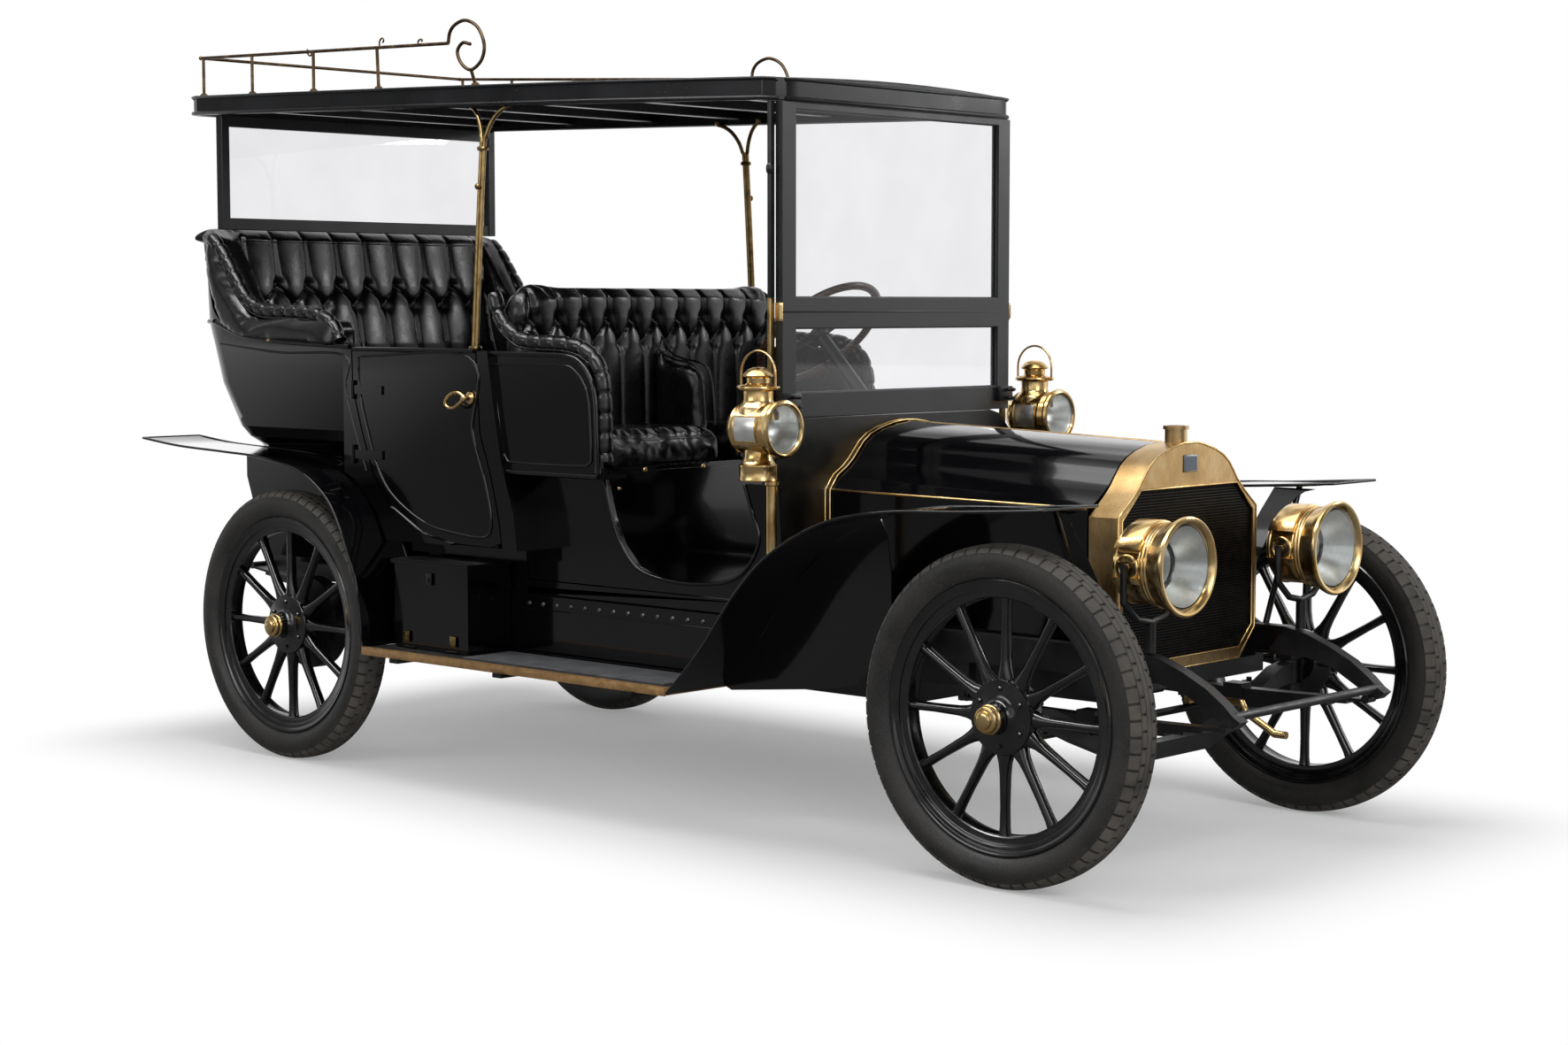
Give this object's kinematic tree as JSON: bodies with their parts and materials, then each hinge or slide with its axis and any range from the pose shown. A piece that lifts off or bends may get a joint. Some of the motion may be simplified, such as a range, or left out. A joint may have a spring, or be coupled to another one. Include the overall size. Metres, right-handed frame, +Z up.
{
  "type": "brass era touring car",
  "caption": "Open black touring car with a canopy roof, windscreen, brass lamps and radiator, buttoned seats and wooden spoked wheels that roll and steer.",
  "frame": {"origin": "on the ground, midway along and across the car's bounding box", "axes": "+X towards the front of the car, +Y to its left, +Z up"},
  "size_m": [4.1314, 1.637, 2.3575],
  "materials": {
    "black_paint": "gloss",
    "black_iron": "semi-gloss",
    "painted_wood": "gloss black paint",
    "body_wood": "satin",
    "brass": "polished",
    "bronze": "aged",
    "leather": "satin",
    "glass": "clear",
    "rubber": "matte",
    "iron": "matte",
    "core": "matte black"
  },
  "bodies": {
    "chassis": {"chassis_frame": "black_iron", "front_axle": "black_iron", "rear_axle": "black_iron", "leaf_springs": "black_iron", "engine_block": "iron", "radiator_shell": "brass", "radiator_core": "core", "dash_board": "painted_wood", "windscreen_frame": "painted_wood", "window_glass": "glass", "canopy_roof": "painted_wood", "rear_window_frame": "painted_wood", "canopy_stanchions": "brass", "luggage_rail": "bronze", "rear_tub": "painted_wood", "front_tub": "painted_wood", "floor": "body_wood", "valances": "black_paint", "seat_backs": "leather", "seat_cushions": "leather", "running_boards": "body_wood", "front_fenders": "black_paint", "rear_fenders": "black_paint", "toolboxes": "black_paint", "headlamps": "brass", "headlamp_brackets": "black_iron", "side_lamps": "brass", "lamp_glasses": "glass", "steering_column": "black_iron", "starting_handle": "brass"},
    "steering_wheel": {"steering_wheel": "painted_wood"},
    "knuckle_left": {"knuckle_left": "black_iron"},
    "knuckle_right": {"knuckle_right": "black_iron"},
    "tie_rod": {"tie_rod": "black_iron"},
    "wheel_front_left": {"wheel_front_left": "painted_wood", "tyre_front_left": "rubber"},
    "wheel_front_right": {"wheel_front_right": "painted_wood", "tyre_front_right": "rubber"},
    "wheel_rear_left": {"wheel_rear_left": "painted_wood", "tyre_rear_left": "rubber"},
    "wheel_rear_right": {"wheel_rear_right": "painted_wood", "tyre_rear_right": "rubber"},
    "door_left": {"door_left": "painted_wood"},
    "door_right": {"door_right": "painted_wood"},
    "bonnet_left": {"bonnet_left": "black_paint"},
    "bonnet_right": {"bonnet_right": "black_paint"},
    "bonnet_side_left": {"bonnet_side_left": "black_paint"},
    "bonnet_side_right": {"bonnet_side_right": "black_paint"},
    "toolbox_flap_left": {"toolbox_flap_left": "black_paint"},
    "toolbox_flap_right": {"toolbox_flap_right": "black_paint"}
  },
  "joints": [
    {"name": "steer_left", "type": "hinge", "parent": "chassis", "child": "knuckle_left", "pos_m": [1.592, 0.6185, 0.42], "axis": [0, 0, 1], "range_deg": [-30, 30]},
    {"name": "steer_right", "type": "hinge", "parent": "chassis", "child": "knuckle_right", "pos_m": [1.592, -0.6185, 0.42], "axis": [0, 0, 1], "range_deg": [-30, 30]},
    {"name": "tie_rod_swing", "type": "hinge", "parent": "knuckle_left", "child": "tie_rod", "pos_m": [1.46, 0.6185, 0.345], "axis": [0, 0, 1], "range_deg": [-30, 30]},
    {"name": "steering_wheel_turn", "type": "hinge", "parent": "chassis", "child": "steering_wheel", "pos_m": [0.052, 0.3, 1.39], "axis": [-0.6965, 0, 0.7176], "range_deg": [-240, 240]},
    {"name": "wheel_front_left_spin", "type": "hinge", "parent": "knuckle_left", "child": "wheel_front_left", "pos_m": [1.592, 0.7165, 0.44], "axis": [0, 1, 0], "continuous": true},
    {"name": "wheel_front_right_spin", "type": "hinge", "parent": "knuckle_right", "child": "wheel_front_right", "pos_m": [1.592, -0.7165, 0.44], "axis": [0, 1, 0], "continuous": true},
    {"name": "wheel_rear_left_spin", "type": "hinge", "parent": "chassis", "child": "wheel_rear_left", "pos_m": [-1.353, 0.7165, 0.44], "axis": [0, 1, 0], "continuous": true},
    {"name": "wheel_rear_right_spin", "type": "hinge", "parent": "chassis", "child": "wheel_rear_right", "pos_m": [-1.353, -0.7165, 0.44], "axis": [0, 1, 0], "continuous": true},
    {"name": "door_left_hinge", "type": "hinge", "parent": "chassis", "child": "door_left", "pos_m": [-1.114, 0.6463, 1.1], "axis": [0, 0, 1], "range_deg": [0, 60]},
    {"name": "door_right_hinge", "type": "hinge", "parent": "chassis", "child": "door_right", "pos_m": [-1.114, -0.6463, 1.1], "axis": [0, 0, -1], "range_deg": [0, 60]},
    {"name": "bonnet_left_hinge", "type": "hinge", "parent": "chassis", "child": "bonnet_left", "pos_m": [1.559, 0, 1.1085], "axis": [0.9993, 0, -0.0362], "range_deg": [0, 70]},
    {"name": "bonnet_right_hinge", "type": "hinge", "parent": "chassis", "child": "bonnet_right", "pos_m": [1.559, 0, 1.1085], "axis": [-0.9993, 0, 0.0362], "range_deg": [0, 70]},
    {"name": "bonnet_side_left_hinge", "type": "hinge", "parent": "bonnet_left", "child": "bonnet_side_left", "pos_m": [1.559, 0.3275, 0.944], "axis": [0.9997, -0.023, -0.0121], "range_deg": [-70, 0]},
    {"name": "bonnet_side_right_hinge", "type": "hinge", "parent": "bonnet_right", "child": "bonnet_side_right", "pos_m": [1.559, -0.3275, 0.944], "axis": [-0.9997, -0.023, 0.0121], "range_deg": [-70, 0]},
    {"name": "toolbox_flap_left_hinge", "type": "hinge", "parent": "chassis", "child": "toolbox_flap_left", "pos_m": [-0.653, 0.7195, 0.4165], "axis": [-1, 0, 0], "range_deg": [0, 85]},
    {"name": "toolbox_flap_right_hinge", "type": "hinge", "parent": "chassis", "child": "toolbox_flap_right", "pos_m": [-0.653, -0.7195, 0.4165], "axis": [1, 0, 0], "range_deg": [0, 85]}
  ],
  "couplings": [
    {"joint": "steer_right", "follows": "steer_left", "ratio": 1},
    {"joint": "tie_rod_swing", "follows": "steer_left", "ratio": -1},
    {"joint": "steering_wheel_turn", "follows": "steer_left", "ratio": 8},
    {"joint": "bonnet_side_left_hinge", "follows": "bonnet_left_hinge", "ratio": -1},
    {"joint": "bonnet_side_right_hinge", "follows": "bonnet_right_hinge", "ratio": -1}
  ]
}
